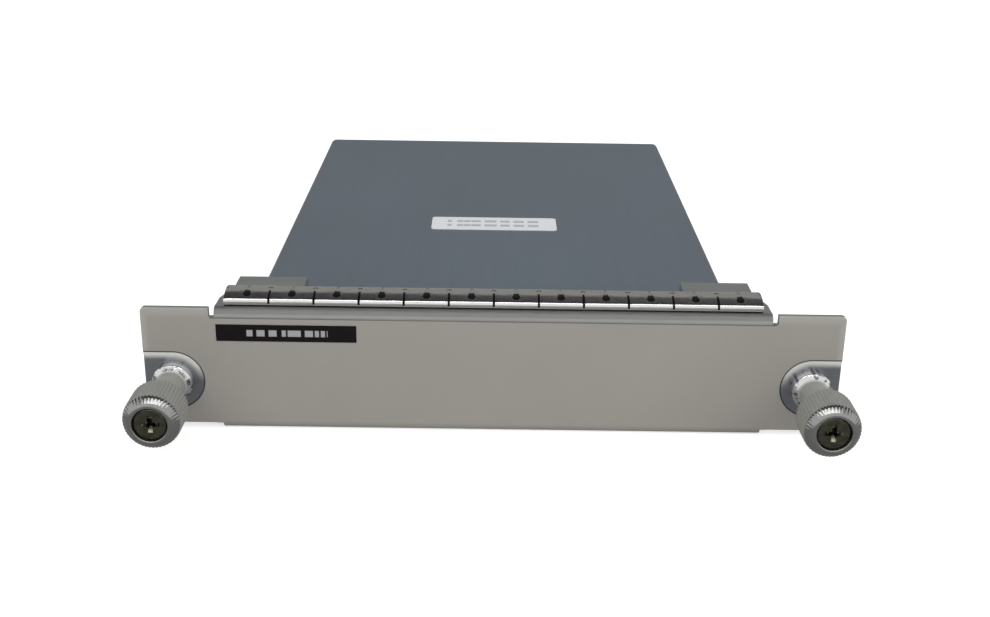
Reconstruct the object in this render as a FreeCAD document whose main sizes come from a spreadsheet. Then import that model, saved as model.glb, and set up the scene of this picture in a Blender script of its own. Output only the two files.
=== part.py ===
# Blank cover for a clock module slot: a folded panel with two captive thumbscrews, a strip of spring
# fingers on its top flange, and a folded tray behind it. All sizes are in millimetres.
# Frame: X runs to the right, Y to the rear and Z up. The origin lies midway between the two thumbscrew
# axes, on the rear face of the panel, which is the plane that meets the chassis.
import FreeCAD, Part
import math
import os
import Sketcher

DOC = FreeCAD.newDocument("blank_cover")

# Driving dimensions: name, value, meaning. Reaches are measured rearwards from the panel's front face,
# and stand-outs forwards from it.
DRIVING = [
    ("panel_width", 146.0, "front panel, end to end"),
    ("ear_height", 26.0, "height of the ears"),
    ("screw_drop", 16.2, "top of the ears down to the thumbscrew axes"),
    ("screw_inset", 6.1, "end of an ear to its thumbscrew axis"),
    ("panel_sheet", 1.5, "sheet of the front panel"),
    ("panel_bend", 0.5, "inside radius of the panel's folds"),
    ("ear_corner", 1.0, "round at the outer corners of the ears"),
    ("ear_width", 14.1, "end of an ear to the notch beside the top flange"),
    ("relief_width", 1.1, "notch between the top flange and each ear"),
    ("flange_reach", 13.7, "rear edge of the top flange between its tabs"),
    ("taper_reach", 6.5, "where the ends of the top flange begin to taper"),
    ("tab_reach", 20.0, "rear edge of the two tabs"),
    ("tab_inset", 2.0, "end of the top flange to the outer edge of a tab"),
    ("tab_width", 14.9, "width of a tab"),
    ("tab_corner", 1.5, "inside round where a tab leaves the flange"),
    ("lower_drop", 1.4, "bottom fold below the ears"),
    ("lower_inset", 15.9, "end of an ear to the bottom flange"),
    ("lower_reach", 12.0, "rear edge of the bottom flange"),
    ("seat_radius", 6.35, "round end of the bare seat at a thumbscrew"),
    ("seat_depth", 0.35, "depth of the seat"),
    ("seat_slope", 70.0, "slope of the seat's rim from the axis, degrees"),
    ("tray_sheet", 1.0, "sheet of the tray"),
    ("tray_bend", 0.8, "inside radius of the tray's folds"),
    ("tab_overhang", 4.95, "tab beyond the side of the tray"),
    ("tray_reach", 150.7, "rear edge of the tray"),
    ("tray_gap", 1.0, "front edge of the tray behind the panel"),
    ("lower_gap", 0.5, "clearance of the tray's sides round the bottom flange"),
    ("finger_pitch", 9.32, "finger to finger on the gasket strip"),
    ("strip_inset", 1.9, "end of the top flange to the end of the gasket strip"),
    ("strip_sheet", 0.15, "sheet of the gasket strip"),
    ("strip_reach", 12.0, "rear edge of the gasket's base"),
    ("nose_reach", 2.4, "axis of the gasket's front roll"),
    ("nose_radius", 0.9, "outside radius of the front roll"),
    ("nose_turn", 62.0, "where the front roll runs into the arch, degrees above level"),
    ("arch_radius", 8.0, "outside radius of the gasket's arch"),
    ("arch_tail", 25.0, "fall of the arch at its rear end, degrees"),
    ("slit_width", 0.5, "slit between two fingers"),
    ("slit_floor", 0.6, "lower end of a slit above the flange"),
    ("keyhole_reach", 3.3, "widest place of a keyhole"),
    ("keyhole_radius", 0.85, "half the greatest width of a keyhole"),
    ("keyhole_throat", 0.5, "width of a keyhole's slot"),
    ("keyhole_flare", 1.9, "length over which a keyhole narrows to its slot"),
    ("shank_diameter", 7.0, "ferrule where it is pressed into the panel"),
    ("shank_gap", 0.05, "clearance of the ferrule in its hole"),
    ("collar_diameter", 8.6, "collar of the ferrule"),
    ("collar_height", 3.5, "length of the collar with its bevel"),
    ("collar_bevel", 1.1, "length of the bevel from the collar down to the sleeve"),
    ("sleeve_diameter", 6.0, "sleeve of the ferrule, on which the knob slides"),
    ("sleeve_standout", 13.4, "front end of the sleeve"),
    ("chamber_diameter", 4.9, "spring chamber in the sleeve"),
    ("stop_length", 4.5, "length of the narrow bore behind the spring chamber"),
    ("stop_gap", 0.25, "clearance of the screw in the narrow bore"),
    ("knob_standout", 21.8, "front face of the knob, pulled out"),
    ("knob_length", 9.0, "length of the knob"),
    ("knob_diameter", 11.8, "knob as turned, before its knurl"),
    ("knob_bevel", 1.8, "length of the bevel round the knob's front face"),
    ("knob_slope", 1.0, "fall of the bevel towards the axis"),
    ("knob_gap", 0.15, "clearance of the knob on the sleeve"),
    ("knob_bore", 5.3, "depth of the knob's bore from its rear face"),
    ("recess_diameter", 7.0, "recess for the screw head"),
    ("recess_depth", 2.4, "depth of that recess"),
    ("knurl_count", 35, "grooves of the knurl"),
    ("knurl_depth", 0.25, "depth of a groove below the turned rim"),
    ("knurl_trim", 0.03, "ridges of the knurl below the turned rim"),
    ("knurl_ledge", 0.1, "foot of the bevel below the grooves"),
    ("head_diameter", 6.6, "screw head"),
    ("head_height", 1.9, "thickness of the screw head"),
    ("head_bevel", 0.35, "bevel on the screw head"),
    ("core_diameter", 3.0, "plain part of the screw"),
    ("core_gap", 0.05, "clearance of the screw in the knob"),
    ("thread_diameter", 4.0, "threaded end of the screw"),
    ("thread_length", 8.6, "length of the threaded end"),
    ("thread_gap", 0.1, "threaded end behind the ferrule, pulled out"),
    ("thread_bevel", 0.25, "bevel on the screw's tip"),
    ("cross_span", 4.6, "cross recess, tip to tip"),
    ("cross_width", 1.1, "width of the cross recess"),
    ("cross_depth", 1.1, "depth of the cross recess"),
    ("spring_wire", 0.5, "wire of the spring"),
    ("spring_diameter", 4.1, "spring at the middle of its wire"),
    ("spring_turns", 4, "turns of the spring"),
    ("spring_gap", 0.2, "room at each end of the spring"),
    ("label_length", 31.3, "tray label, side to side"),
    ("label_width", 10.0, "tray label, front to rear"),
    ("label_reach", 65.4, "middle of the tray label"),
    ("label_corner", 0.7, "corner cut off the tray label"),
    ("label_sheet", 0.12, "thickness of the label and the marking strip"),
    ("marking_length", 29.1, "marking strip, side to side"),
    ("marking_height", 3.7, "marking strip, top to bottom"),
    ("marking_drop", 3.45, "top of the ears down to the marking strip"),
    ("marking_inset", 15.5, "end of the left ear to the marking strip"),
    ("cut_spill", 2.0, "how far a cut runs past the edge that it opens"),
]


class Size:
    """A number together with the formula that ties it to the sheet of dimensions."""

    def __init__(self, number, formula):
        self.number = float(number)
        self.formula = formula

    def joined(self, sign, other, number):
        return Size(number, f"({self.formula} {sign} {as_size(other).formula})")

    def __add__(self, other):
        return self.joined("+", other, self.number + as_size(other).number)

    def __sub__(self, other):
        return self.joined("-", other, self.number - as_size(other).number)

    def __mul__(self, other):
        return self.joined("*", other, self.number * as_size(other).number)

    def __truediv__(self, other):
        return self.joined("/", other, self.number / as_size(other).number)

    def __neg__(self):
        return Size(-self.number, f"(0 - {self.formula})")


def as_size(value):
    return value if isinstance(value, Size) else Size(value, f"{value:g}")


def cosine(angle):
    return Size(math.cos(math.radians(angle.number)), f"cos({angle.formula} * 1 deg)")


def whole(size):
    return Size(math.ceil(size.number), f"ceil({size.formula})")


def sine(angle):
    return Size(math.sin(math.radians(angle.number)), f"sin({angle.formula} * 1 deg)")


def fill_sheet():
    """Write the driving dimensions into a sheet and return them by name."""
    sheet = DOC.addObject("Spreadsheet::Sheet", "sizes")
    for row, (name, value, meaning) in enumerate(DRIVING, start=1):
        sheet.set(f"A{row}", meaning)
        sheet.set(f"B{row}", f"{value:g}")
        sheet.setAlias(f"B{row}", name)
    DOC.recompute()
    return {name: Size(value, f"sizes.{name}") for name, value, meaning in DRIVING}


D = fill_sheet()
SPILL = D["cut_spill"]

# Distances from the middle of the panel
PANEL_END = D["panel_width"] / 2
SCREW_AXIS = PANEL_END - D["screw_inset"]
EAR_INNER = PANEL_END - D["ear_width"]
FLANGE_END = EAR_INNER - D["relief_width"]
LOWER_END = PANEL_END - D["lower_inset"]
TAB_OUTER = FLANGE_END - D["tab_inset"]
TRAY_SIDE = TAB_OUTER - D["tab_overhang"]
STRIP_END = FLANGE_END - D["strip_inset"]

# Heights above the thumbscrew axes
EAR_TOP = D["screw_drop"]
EAR_BOTTOM = EAR_TOP - D["ear_height"]
LOWEST = EAR_BOTTOM - D["lower_drop"]
PANEL_FOLD = D["panel_sheet"] + D["panel_bend"]
TRAY_TOP = EAR_TOP - D["panel_sheet"]

# Places along Y
FRONT = -D["panel_sheet"]
SEAT = FRONT + D["seat_depth"]
COLLAR_FRONT = SEAT - D["collar_height"]
SLEEVE_FRONT = FRONT - D["sleeve_standout"]
CHAMBER_REAR = -D["stop_length"]
KNOB_FRONT = FRONT - D["knob_standout"]
KNOB_REAR = KNOB_FRONT + D["knob_length"]
BORE_FRONT = KNOB_REAR - D["knob_bore"]
HEAD_SEAT = KNOB_FRONT + D["recess_depth"]
THREAD_FRONT = D["thread_gap"]
LOWER_REAR = FRONT + D["lower_reach"]

# The springs are hidden, so their coils are straight runs of four-sided wire.
RUNS_PER_TURN = 8
WIRE_SIDES = 4


def new_body(name):
    body = DOC.addObject("PartDesign::Body", name)
    body.Label = name
    return body


def origin_part(body, role):
    return next(part for part in body.Origin.OriginFeatures if part.Role == role)


def sketch_on(body, plane, name, lift=None):
    """A sketch on one of the body's own planes, lifted along that plane's normal."""
    sketch = body.newObject("Sketcher::SketchObject", name)
    sketch.AttachmentSupport = [(origin_part(body, plane), "")]
    sketch.MapMode = "FlatFace"
    if lift is not None:
        sketch.setExpression("AttachmentOffset.Base.z", lift.formula)
    DOC.recompute()
    return sketch


def bind(sketch, kind, *references, size):
    index = sketch.addConstraint(Sketcher.Constraint(kind, *references, size.number))
    sketch.setExpression(f"Constraints[{index}]", size.formula)


def arc_between(start, end, radius, leftwards):
    """The shorter arc from start to end, turning left or right on its way."""
    half = (end - start) * 0.5
    rise = math.sqrt(max(radius ** 2 - half.Length ** 2, 0.0))
    across = FreeCAD.Vector(-half.y, half.x, 0).normalize()
    centre = start + half + across * (rise if leftwards else -rise)
    away = (start + half - centre).normalize()
    return Part.Arc(start, centre + away * radius, end)


def outline(sketch, corners):
    """A closed outline. A corner is (x, y), or (x, y, radius, turn) where an arc runs to the next one."""
    points = [FreeCAD.Vector(as_size(c[0]).number, as_size(c[1]).number, 0) for c in corners]
    first = sketch.GeometryCount
    for index, corner in enumerate(corners):
        start = points[index]
        end = points[(index + 1) % len(points)]
        if len(corner) == 2:
            sketch.addGeometry(Part.LineSegment(start, end))
        else:
            sketch.addGeometry(arc_between(start, end, corner[2].number, corner[3] == "left"))
    for index, corner in enumerate(corners):
        here = first + index
        after = first + (index + 1) % len(corners)
        # An arc that turns right is stored the other way round, so its ends trade places.
        begin = 2 if len(corner) == 4 and corner[3] == "right" else 1
        following = corners[(index + 1) % len(corners)]
        next_begin = 2 if len(following) == 4 and following[3] == "right" else 1
        sketch.addConstraint(Sketcher.Constraint("Coincident", here, 3 - begin, after, next_begin))
        bind(sketch, "DistanceX", -1, 1, here, begin, size=as_size(corner[0]))
        bind(sketch, "DistanceY", -1, 1, here, begin, size=as_size(corner[1]))
        if len(corner) == 4:
            bind(sketch, "Radius", here, size=corner[2])


def circle(sketch, x, y, radius):
    place = FreeCAD.Vector(as_size(x).number, as_size(y).number, 0)
    index = sketch.addGeometry(Part.Circle(place, FreeCAD.Vector(0, 0, 1), radius.number))
    bind(sketch, "DistanceX", -1, 1, index, 3, size=as_size(x))
    bind(sketch, "DistanceY", -1, 1, index, 3, size=as_size(y))
    bind(sketch, "Radius", index, size=radius)


def pad(body, sketch, length, side="One side", backwards=False):
    feature = body.newObject("PartDesign::Pad", f"{sketch.Name}_pad")
    feature.Profile = sketch
    feature.SideType = side
    feature.Reversed = backwards
    feature.setExpression("Length", length.formula)
    DOC.recompute()
    return feature


def pocket(body, sketch, depth=None, side="One side", backwards=False, slope=None):
    """Cut the sketch into the body, right through where no depth is given."""
    before = body.Shape.Volume
    feature = body.newObject("PartDesign::Pocket", f"{sketch.Name}_cut")
    feature.Profile = sketch
    feature.SideType = side
    feature.Reversed = backwards
    if depth is None:
        feature.Type = "ThroughAll"
    else:
        feature.setExpression("Length", depth.formula)
    if slope is not None:
        feature.setExpression("TaperAngle", f"{slope.formula} * 1 deg")
    DOC.recompute()
    if not body.Shape.Volume < before:
        raise RuntimeError(f"{feature.Label} cuts nothing")
    return feature


def row_along_x(body, feature, pitch, count):
    pattern = body.newObject("PartDesign::LinearPattern", f"{feature.Name}_row")
    pattern.Originals = [feature]
    pattern.Direction = (origin_part(body, "X_Axis"), [""])
    pattern.setExpression("Length", (pitch * (count - 1)).formula)
    pattern.setExpression("Occurrences", count.formula)
    body.Tip = pattern
    DOC.recompute()


def ring_about_y(body, feature, count):
    pattern = body.newObject("PartDesign::PolarPattern", f"{feature.Name}_ring")
    pattern.Originals = [feature]
    pattern.Axis = (origin_part(body, "Y_Axis"), [""])
    pattern.Angle = 360.0
    pattern.setExpression("Occurrences", count.formula)
    body.Tip = pattern
    DOC.recompute()


def turned(body, name, corners):
    """Turn an outline of places along Y and radii about the Y axis."""
    sketch = sketch_on(body, "YZ_Plane", name)
    outline(sketch, corners)
    feature = body.newObject("PartDesign::Revolution", f"{name}_turn")
    feature.Profile = sketch
    feature.ReferenceAxis = (sketch, ["H_Axis"])
    feature.Angle = 360.0
    DOC.recompute()
    return feature


def set_on_axis(body, side):
    """Move a thumbscrew piece, built about the Y axis, to its own axis."""
    body.setExpression("Placement.Base.x", (SCREW_AXIS * side).formula)
    DOC.recompute()


def fold_outline(root, level, rear):
    """Section of one fold and its flange: root is where the fold leaves the web, level its outer face."""
    up = level.number > root.number
    inner = level - D["panel_sheet"] if up else level + D["panel_sheet"]
    bend = D["panel_bend"]
    return [
        (FRONT, root, PANEL_FOLD, "right" if up else "left"),
        (bend, level),
        (rear, level),
        (rear, inner),
        (bend, inner, bend, "left" if up else "right"),
        (as_size(0), root),
    ]


def make_front_panel():
    body = new_body("front_panel")
    corner = D["ear_corner"]
    upper_root = EAR_TOP - PANEL_FOLD
    lower_root = LOWEST + PANEL_FOLD

    face = sketch_on(body, "XZ_Plane", "face")
    outline(face, [
        (-PANEL_END + corner, EAR_BOTTOM),
        (-LOWER_END, EAR_BOTTOM),
        (-LOWER_END, lower_root),
        (LOWER_END, lower_root),
        (LOWER_END, EAR_BOTTOM),
        (PANEL_END - corner, EAR_BOTTOM, corner, "left"),
        (PANEL_END, EAR_BOTTOM + corner),
        (PANEL_END, EAR_TOP - corner, corner, "left"),
        (PANEL_END - corner, EAR_TOP),
        (EAR_INNER, EAR_TOP),
        (EAR_INNER, upper_root),
        (-EAR_INNER, upper_root),
        (-EAR_INNER, EAR_TOP),
        (-PANEL_END + corner, EAR_TOP, corner, "left"),
        (-PANEL_END, EAR_TOP - corner),
        (-PANEL_END, EAR_BOTTOM + corner, corner, "left"),
    ])
    pad(body, face, D["panel_sheet"])

    top_fold = sketch_on(body, "YZ_Plane", "top_fold")
    outline(top_fold, fold_outline(upper_root, EAR_TOP, FRONT + D["tab_reach"]))
    pad(body, top_fold, FLANGE_END * 2, side="Symmetric")

    lower_fold = sketch_on(body, "YZ_Plane", "lower_fold")
    outline(lower_fold, fold_outline(lower_root, LOWEST, LOWER_REAR))
    pad(body, lower_fold, LOWER_END * 2, side="Symmetric")

    trim_flange(body)
    cut_seats(body)
    return body


def trim_flange(body):
    """Leave the top flange with tapered ends and a tab at each end of its rear edge."""
    inner = TAB_OUTER - D["tab_width"]
    rear = FRONT + D["flange_reach"]
    past = FRONT + D["tab_reach"] + SPILL
    beyond = FLANGE_END + SPILL
    taper = FRONT + D["taper_reach"]
    corner = D["tab_corner"]
    trim = sketch_on(body, "XY_Plane", "flange_trim", lift=EAR_TOP)
    outline(trim, [
        (-inner + corner, rear),
        (inner - corner, rear, corner, "left"),
        (inner, rear + corner),
        (inner, past),
        (-inner, past),
        (-inner, rear + corner, corner, "left"),
    ])
    outline(trim, [
        (FLANGE_END, taper), (beyond, taper), (beyond, past), (TAB_OUTER, past), (TAB_OUTER, rear),
    ])
    outline(trim, [
        (-FLANGE_END, taper), (-TAB_OUTER, rear), (-TAB_OUTER, past), (-beyond, past), (-beyond, taper),
    ])
    pocket(body, trim, depth=D["panel_sheet"])


def cut_seats(body):
    """Sink a bare U-shaped seat, open to the end of the ear, round each thumbscrew hole."""
    radius = D["seat_radius"]
    edge = PANEL_END + SPILL
    seats = sketch_on(body, "XZ_Plane", "seats", lift=D["panel_sheet"])
    outline(seats, [
        (SCREW_AXIS, radius, radius, "left"),
        (SCREW_AXIS - radius, as_size(0), radius, "left"),
        (SCREW_AXIS, -radius),
        (edge, -radius),
        (edge, radius),
    ])
    outline(seats, [
        (-SCREW_AXIS, -radius, radius, "left"),
        (-SCREW_AXIS + radius, as_size(0), radius, "left"),
        (-SCREW_AXIS, radius),
        (-edge, radius),
        (-edge, -radius),
    ])
    pocket(body, seats, depth=D["seat_depth"], slope=-D["seat_slope"])
    holes = sketch_on(body, "XZ_Plane", "screw_holes")
    for side in (-1, 1):
        circle(holes, SCREW_AXIS * side, 0, D["shank_diameter"] / 2 + D["shank_gap"])
    pocket(body, holes, side="Symmetric")


def make_tray():
    body = new_body("tray")
    sheet = D["tray_sheet"]
    bend = D["tray_bend"]
    fold = sheet + bend
    channel = sketch_on(body, "XZ_Plane", "channel", lift=-D["tray_gap"])
    outline(channel, [
        (-TRAY_SIDE, LOWEST),
        (-TRAY_SIDE + sheet, LOWEST),
        (-TRAY_SIDE + sheet, TRAY_TOP - fold, bend, "right"),
        (-TRAY_SIDE + fold, TRAY_TOP - sheet),
        (TRAY_SIDE - fold, TRAY_TOP - sheet, bend, "right"),
        (TRAY_SIDE - sheet, TRAY_TOP - fold),
        (TRAY_SIDE - sheet, LOWEST),
        (TRAY_SIDE, LOWEST),
        (TRAY_SIDE, TRAY_TOP - fold, fold, "left"),
        (TRAY_SIDE - fold, TRAY_TOP),
        (-TRAY_SIDE + fold, TRAY_TOP, fold, "left"),
        (-TRAY_SIDE, TRAY_TOP - fold),
    ])
    pad(body, channel, FRONT + D["tray_reach"] - D["tray_gap"], backwards=True)

    notch = sketch_on(body, "YZ_Plane", "lower_notch")
    rear = LOWER_REAR + D["lower_gap"]
    top = LOWEST + D["panel_sheet"] + D["lower_gap"]
    low = LOWEST - SPILL
    outline(notch, [(-SPILL, low), (rear, low), (rear, top), (-SPILL, top)])
    pocket(body, notch, side="Symmetric")
    return body


def make_gasket():
    body = new_body("gasket_strip")
    sheet = D["strip_sheet"]
    roll = D["nose_radius"]
    arch = D["arch_radius"]
    turn = D["nose_turn"]
    tail = D["arch_tail"]
    nose_y = FRONT + D["nose_reach"]
    nose_z = EAR_TOP + roll
    crest_y = nose_y + (arch - roll) * cosine(turn)
    arch_z = nose_z - (arch - roll) * sine(turn)
    rear = FRONT + D["strip_reach"]

    def on_roll(radius):
        return (nose_y - radius * cosine(turn), nose_z + radius * sine(turn))

    def on_tail(radius):
        return (crest_y + radius * sine(tail), arch_z + radius * cosine(tail))

    section = sketch_on(body, "YZ_Plane", "strip_section")
    outline(section, [
        (rear, EAR_TOP),
        (rear, EAR_TOP + sheet),
        (nose_y, EAR_TOP + sheet, roll - sheet, "right"),
        (*on_roll(roll - sheet), arch - sheet, "right"),
        on_tail(arch - sheet),
        (*on_tail(arch), arch, "left"),
        (*on_roll(roll), roll, "left"),
        (nose_y, EAR_TOP),
    ])
    pitch = D["finger_pitch"]
    count = whole(STRIP_END * 2 / pitch)
    pad(body, section, STRIP_END * 2, side="Symmetric")

    half_slit = D["slit_width"] / 2
    first_slit = -pitch * (count - 2) / 2
    slit_front = nose_y - roll - SPILL
    slit = sketch_on(body, "XY_Plane", "slit", lift=EAR_TOP + D["slit_floor"])
    outline(slit, [
        (first_slit - half_slit, slit_front),
        (first_slit + half_slit, slit_front),
        (first_slit + half_slit, crest_y),
        (first_slit - half_slit, crest_y),
    ])
    row_along_x(body, pocket(body, slit, backwards=True), pitch, count - 1)

    half_throat = D["keyhole_throat"] / 2
    hole = D["keyhole_radius"]
    hole_y = FRONT + D["keyhole_reach"]
    first_hole = -pitch * (count - 1) / 2
    past = crest_y + arch * sine(tail) + SPILL
    keyhole = sketch_on(body, "XY_Plane", "keyhole", lift=EAR_TOP + D["slit_floor"])
    outline(keyhole, [
        (first_hole - hole, hole_y),
        (first_hole, hole_y - hole),
        (first_hole + hole, hole_y),
        (first_hole + half_throat, hole_y + D["keyhole_flare"]),
        (first_hole + half_throat, past),
        (first_hole - half_throat, past),
        (first_hole - half_throat, hole_y + D["keyhole_flare"]),
    ])
    row_along_x(body, pocket(body, keyhole, backwards=True), pitch, count)
    return body


def make_ferrule(name, side):
    body = new_body(name)
    narrow = D["core_diameter"] / 2 + D["stop_gap"]
    chamber = D["chamber_diameter"] / 2
    sleeve = D["sleeve_diameter"] / 2
    collar = D["collar_diameter"] / 2
    shank = D["shank_diameter"] / 2
    turned(body, f"{name}_section", [
        (as_size(0), narrow),
        (as_size(0), shank),
        (SEAT, shank),
        (SEAT, collar),
        (COLLAR_FRONT + D["collar_bevel"], collar),
        (COLLAR_FRONT, sleeve),
        (SLEEVE_FRONT, sleeve),
        (SLEEVE_FRONT, chamber),
        (CHAMBER_REAR, chamber),
        (CHAMBER_REAR, narrow),
    ])
    set_on_axis(body, side)
    return body


def make_knob(name, side):
    body = new_body(name)
    radius = D["knob_diameter"] / 2
    bore = D["sleeve_diameter"] / 2 + D["knob_gap"]
    hole = D["core_diameter"] / 2 + D["core_gap"]
    recess = D["recess_diameter"] / 2
    root = radius - D["knurl_depth"]
    ledge = root - D["knurl_ledge"]
    turned(body, f"{name}_section", [
        (KNOB_REAR, bore),
        (KNOB_REAR, radius),
        (KNOB_FRONT + D["knob_bevel"], radius),
        (KNOB_FRONT + D["knob_bevel"], ledge),
        (KNOB_FRONT, ledge - D["knob_slope"]),
        (KNOB_FRONT, recess),
        (HEAD_SEAT, recess),
        (HEAD_SEAT, hole),
        (BORE_FRONT, hole),
        (BORE_FRONT, bore),
    ])
    # The sides of each groove meet those of the next in a ridge just under the turned rim.
    ridge = radius - D["knurl_trim"]
    half_turn = as_size(180) / D["knurl_count"]
    spread = ridge * sine(half_turn) * 2
    rim = ridge * cosine(half_turn) * 2 - root
    band = D["knob_length"] - D["knob_bevel"]
    groove = sketch_on(body, "XZ_Plane", f"{name}_groove", lift=-KNOB_FRONT - D["knob_bevel"])
    outline(groove, [(0, root), (spread, rim), (-spread, rim)])
    ring_about_y(body, pocket(body, groove, depth=band), D["knurl_count"])
    set_on_axis(body, side)
    return body


def make_screw(name, side):
    body = new_body(name)
    head = D["head_diameter"] / 2
    core = D["core_diameter"] / 2
    thread = D["thread_diameter"] / 2
    tip = THREAD_FRONT + D["thread_length"]
    head_front = HEAD_SEAT - D["head_height"]
    turned(body, f"{name}_section", [
        (head_front, 0),
        (tip, 0),
        (tip, thread - D["thread_bevel"]),
        (tip - D["thread_bevel"], thread),
        (THREAD_FRONT, thread),
        (THREAD_FRONT, core),
        (HEAD_SEAT, core),
        (HEAD_SEAT, head),
        (head_front + D["head_bevel"], head),
        (head_front, head - D["head_bevel"]),
    ])
    span = D["cross_span"] / 2
    half = D["cross_width"] / 2
    cross = sketch_on(body, "XZ_Plane", f"{name}_cross", lift=-head_front)
    outline(cross, [
        (half, half), (half, span), (-half, span), (-half, half), (-span, half), (-span, -half),
        (-half, -half), (-half, -span), (half, -span), (half, -half), (span, -half), (span, half),
    ])
    pocket(body, cross, depth=D["cross_depth"])
    set_on_axis(body, side)
    return body


def make_spring(name, side):
    """A coil of straight runs of four-sided wire, which keeps its hidden surface simple."""
    wire = D["spring_wire"].number / 2
    radius = D["spring_diameter"].number / 2
    rear = (CHAMBER_REAR - D["spring_gap"]).number - wire
    front = (BORE_FRONT + D["spring_gap"]).number + wire
    runs = round(D["spring_turns"].number * RUNS_PER_TURN)
    sections = []
    for run in range(runs + 1):
        about = FreeCAD.Rotation(FreeCAD.Vector(0, 1, 0), 360.0 * run / RUNS_PER_TURN)
        along = front + (rear - front) * run / runs
        corners = []
        for corner in range(WIRE_SIDES + 1):
            angle = 2 * math.pi * corner / WIRE_SIDES
            place = FreeCAD.Vector(radius + wire * math.cos(angle), along + wire * math.sin(angle), 0)
            corners.append(about.multVec(place))
        sections.append(Part.makePolygon(corners))
    spring = DOC.addObject("Part::Feature", name)
    spring.Label = name
    spring.Shape = Part.makeLoft(sections, True, True)
    set_on_axis(spring, side)
    return spring


def make_tray_label():
    body = new_body("tray_label")
    half = D["label_length"] / 2
    corner = D["label_corner"]
    front = FRONT + D["label_reach"] - D["label_width"] / 2
    rear = front + D["label_width"]
    plan = sketch_on(body, "XY_Plane", "label_plan", lift=TRAY_TOP)
    outline(plan, [
        (-half + corner, front),
        (half - corner, front),
        (half, front + corner),
        (half, rear - corner),
        (half - corner, rear),
        (-half + corner, rear),
        (-half, rear - corner),
        (-half, front + corner),
    ])
    pad(body, plan, D["label_sheet"])
    return body


def make_face_strip():
    body = new_body("face_strip")
    far = -PANEL_END + D["marking_inset"]
    near = far + D["marking_length"]
    top = EAR_TOP - D["marking_drop"]
    low = top - D["marking_height"]
    plan = sketch_on(body, "XZ_Plane", "strip_plan", lift=D["panel_sheet"])
    outline(plan, [(far, low), (near, low), (near, top), (far, top)])
    pad(body, plan, D["label_sheet"])
    return body


def make_all():
    bodies = [make_front_panel(), make_tray(), make_gasket(), make_tray_label(), make_face_strip()]
    for side_name, side in (("left", -1), ("right", 1)):
        bodies.append(make_ferrule(f"{side_name}_ferrule", side))
        bodies.append(make_spring(f"{side_name}_spring", side))
        bodies.append(make_knob(f"{side_name}_knob", side))
        bodies.append(make_screw(f"{side_name}_screw", side))
    return bodies


def check(bodies):
    for item in DOC.Objects:
        if "Invalid" in item.State or "Error" in item.State:
            raise RuntimeError(f"{item.Label} failed: {item.State}")
    for body in bodies:
        if body.Shape.isNull() or not body.Shape.isValid() or len(body.Shape.Solids) != 1:
            raise RuntimeError(f"{body.Label} is not one sound solid")


def write(bodies):
    os.makedirs("parts", exist_ok=True)
    for body in bodies:
        body.Shape.exportStep(f"parts/{body.Label}.step")
        box = body.Shape.optimalBoundingBox(False, False)
        print(
            f"{body.Label:14s} {body.Shape.Volume:9.2f} mm3"
            f"  X {box.XMin:7.2f} {box.XMax:7.2f}  Y {box.YMin:7.2f} {box.YMax:7.2f}"
            f"  Z {box.ZMin:7.2f} {box.ZMax:7.2f}"
        )


PIECES = make_all()
DOC.recompute()
check(PIECES)
write(PIECES)
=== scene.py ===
# %% [markdown]
# # A blank cover for a module slot
# This lesson dresses a small sheet-metal assembly for a product picture. The solids come from a CAD model,
# already at their real size and place, so everything here is about edges, finishes and light. Each step says
# what the real piece is, how it could be made in Blender, and why it is made the way it is.

# %% Load the frame
import math

import bmesh
import bpy
from mathutils import Matrix, Vector


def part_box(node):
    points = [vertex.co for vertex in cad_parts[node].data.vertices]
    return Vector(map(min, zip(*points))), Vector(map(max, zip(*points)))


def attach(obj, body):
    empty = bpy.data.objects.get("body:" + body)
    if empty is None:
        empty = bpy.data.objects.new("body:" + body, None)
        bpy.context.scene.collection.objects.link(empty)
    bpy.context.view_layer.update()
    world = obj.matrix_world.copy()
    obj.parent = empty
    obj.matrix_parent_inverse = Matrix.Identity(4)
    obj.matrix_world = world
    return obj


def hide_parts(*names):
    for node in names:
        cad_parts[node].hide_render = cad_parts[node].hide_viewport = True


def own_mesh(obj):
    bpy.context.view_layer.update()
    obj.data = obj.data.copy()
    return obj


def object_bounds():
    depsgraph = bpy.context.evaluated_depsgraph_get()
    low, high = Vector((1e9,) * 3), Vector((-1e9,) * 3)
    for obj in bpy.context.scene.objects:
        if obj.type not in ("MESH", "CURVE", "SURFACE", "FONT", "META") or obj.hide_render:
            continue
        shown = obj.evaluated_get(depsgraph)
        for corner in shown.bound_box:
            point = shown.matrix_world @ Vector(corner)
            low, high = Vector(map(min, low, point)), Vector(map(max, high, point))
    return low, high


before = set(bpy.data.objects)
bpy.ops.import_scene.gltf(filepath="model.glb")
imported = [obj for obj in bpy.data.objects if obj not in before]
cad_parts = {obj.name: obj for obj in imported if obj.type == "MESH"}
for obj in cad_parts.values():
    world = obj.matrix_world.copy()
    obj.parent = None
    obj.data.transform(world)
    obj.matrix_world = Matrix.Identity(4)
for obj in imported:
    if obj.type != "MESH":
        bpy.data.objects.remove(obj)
CAD_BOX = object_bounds()
MM = 0.001
scene = bpy.context.scene
scene.view_settings.view_transform = "Standard"
print("nodes:", ", ".join(sorted(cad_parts)))

# %% [markdown]
# ## The camera
# The picture was taken from the front and a little above, close enough for a clear perspective: the tray gets
# narrower towards the rear. The place, the tilt and the lens below were worked out from the straight edges of
# the panel and the tray, so the render can be laid over the picture.

# %% Camera
CAMERA_PLACE = Vector((-0.97, -257.31, 115.79)) * MM
CAMERA_PITCH = math.radians(21.099)
CAMERA_YAW = math.radians(0.272)
CAMERA_ROLL = math.radians(0.896)
FOCAL_PIXELS = 1333.05
FRAME_PIXELS = 990
SENSOR_WIDTH = 36.0
NEAREST = 0.01


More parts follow.
